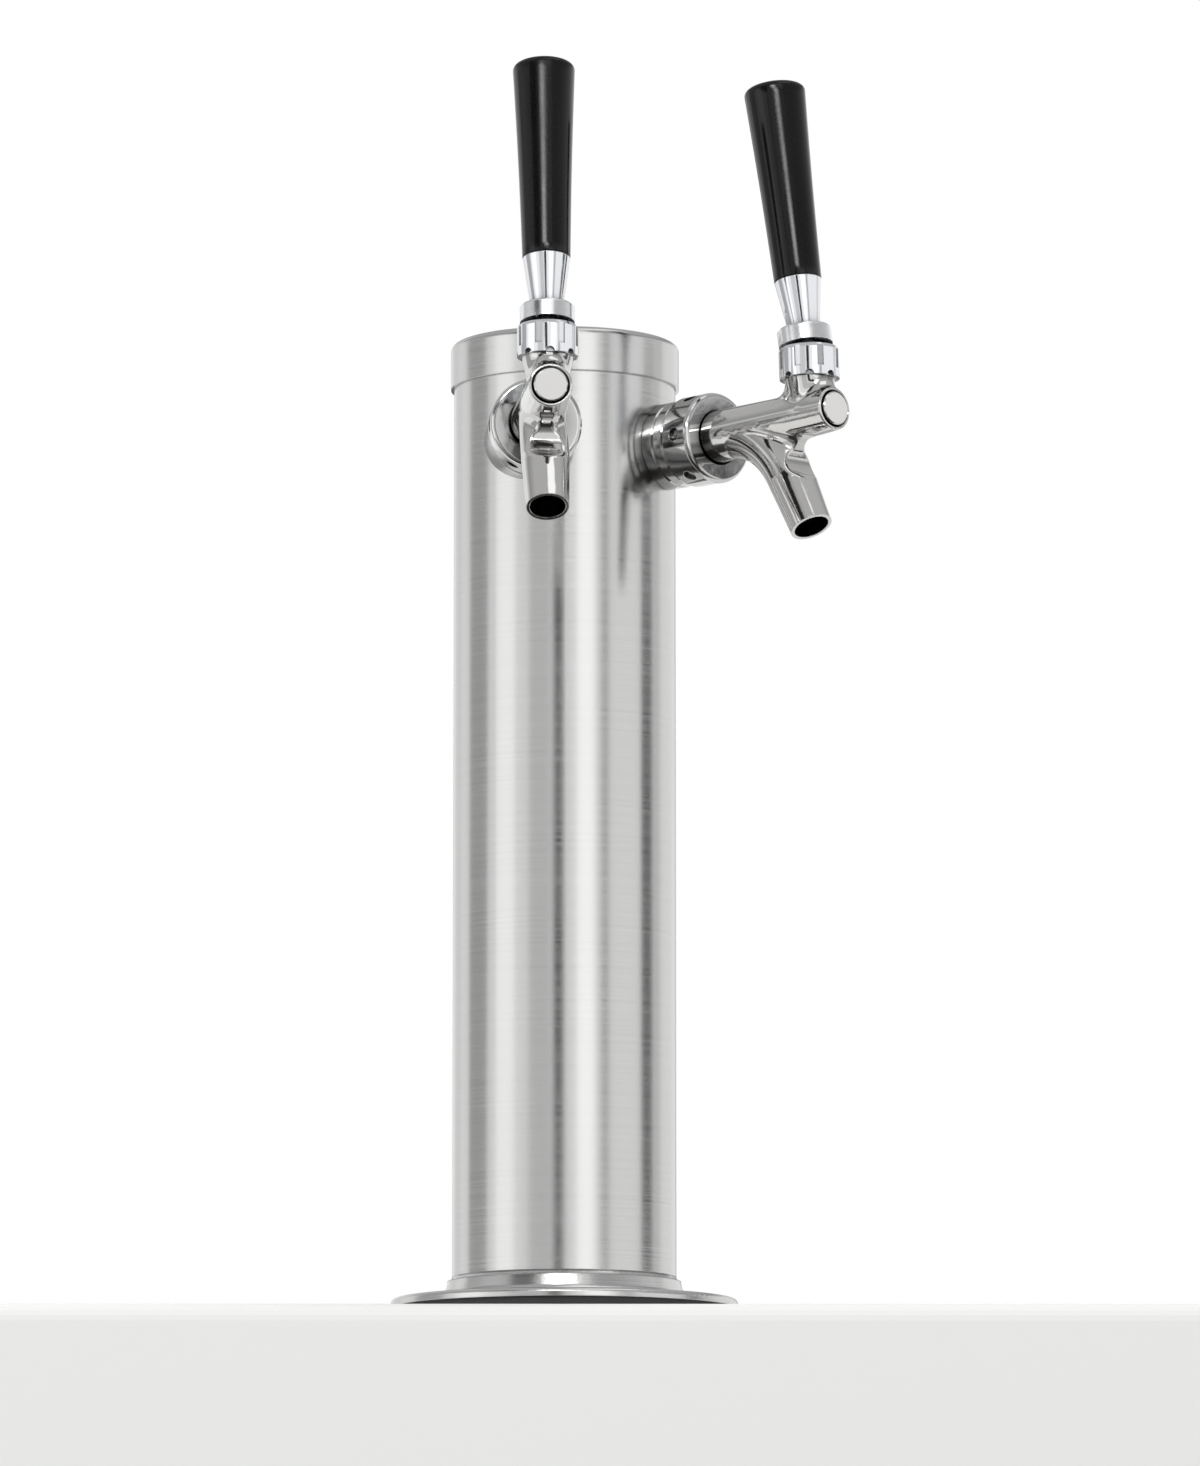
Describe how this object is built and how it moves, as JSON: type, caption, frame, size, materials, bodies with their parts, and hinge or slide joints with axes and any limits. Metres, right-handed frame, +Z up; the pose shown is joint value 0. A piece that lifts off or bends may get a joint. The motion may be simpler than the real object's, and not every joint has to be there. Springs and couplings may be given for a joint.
{
  "type": "beer tap tower",
  "caption": "Column draft beer tower with splayed chrome taps, pull levers with black grips, lift-off cap and bolted round base.",
  "frame": {"origin": "centre of the base on the counter, on the column's axis", "axes": "+Z up along the column, -Y towards the person pouring (the taps' side), +X to the right of that person as seen from the front"},
  "size_m": [0.118, 0.1671, 0.4154],
  "materials": {
    "brushed_steel": "satin brushed along the column",
    "polished_steel": "polished stainless",
    "stub_steel": "plain stainless",
    "plated_steel": "bright plated",
    "chrome": "bright chrome plate",
    "brass": "as machined",
    "black_rubber": "matte",
    "foam": "closed-cell foam, matte",
    "grey_plastic": "moulded, matte",
    "nylon": "natural nylon",
    "black_gloss": "gloss black"
  },
  "bodies": {
    "tower": {"column_tube": "brushed_steel", "base_flange": "brushed_steel", "base_gasket": "black_rubber", "insulation_sleeve": "foam", "left_shank_saddle": "chrome", "left_inner_saddle": "grey_plastic", "left_shank": "chrome", "left_shank_lock_nut": "brass", "left_line_stub": "stub_steel", "left_coupling_nut": "chrome", "left_coupling_washer": "black_rubber", "left_tap_body": "chrome", "left_bonnet": "chrome", "left_friction_ring": "nylon", "right_shank_saddle": "chrome", "right_inner_saddle": "grey_plastic", "right_shank": "chrome", "right_shank_lock_nut": "brass", "right_line_stub": "stub_steel", "right_coupling_nut": "chrome", "right_coupling_washer": "black_rubber", "right_tap_body": "chrome", "right_bonnet": "chrome", "right_friction_ring": "nylon"},
    "cap": {"top_cap": "polished_steel", "cap_plug_ring": "black_rubber"},
    "left_shaft": {"left_tap_shaft": "chrome", "left_seat_seal": "black_rubber"},
    "left_lever": {"left_lever": "stub_steel", "left_lever_lock_ring": "chrome", "left_handle_ferrule": "chrome", "left_handle_hanger_bolt": "plated_steel", "left_handle_grip": "black_gloss"},
    "right_shaft": {"right_tap_shaft": "chrome", "right_seat_seal": "black_rubber"},
    "right_lever": {"right_lever": "stub_steel", "right_lever_lock_ring": "chrome", "right_handle_ferrule": "chrome", "right_handle_hanger_bolt": "plated_steel", "right_handle_grip": "black_gloss"}
  },
  "joints": [
    {"name": "cap_lift", "type": "slide", "parent": "tower", "child": "cap", "axis": [0, 0, 1], "range_m": [0, 0.03]},
    {"name": "left_lever_pull", "type": "hinge", "parent": "tower", "child": "left_lever", "pos_m": [-0.04822, -0.09431, 0.3124], "axis": [0.9455, -0.3256, 0], "range_deg": [0, 30]},
    {"name": "left_shaft_slide", "type": "slide", "parent": "tower", "child": "left_shaft", "axis": [0.3253, 0.9447, -0.0419], "range_m": [0, 0.00691]},
    {"name": "right_lever_pull", "type": "hinge", "parent": "tower", "child": "right_lever", "pos_m": [0.04822, -0.09431, 0.3124], "axis": [0.9455, 0.3256, 0], "range_deg": [0, 30]},
    {"name": "right_shaft_slide", "type": "slide", "parent": "tower", "child": "right_shaft", "axis": [-0.3253, 0.9447, -0.0419], "range_m": [0, 0.00691]}
  ],
  "couplings": [
    {"joint": "left_shaft_slide", "follows": "left_lever_pull", "m_per_rad": 0.013},
    {"joint": "right_shaft_slide", "follows": "right_lever_pull", "m_per_rad": 0.013}
  ]
}
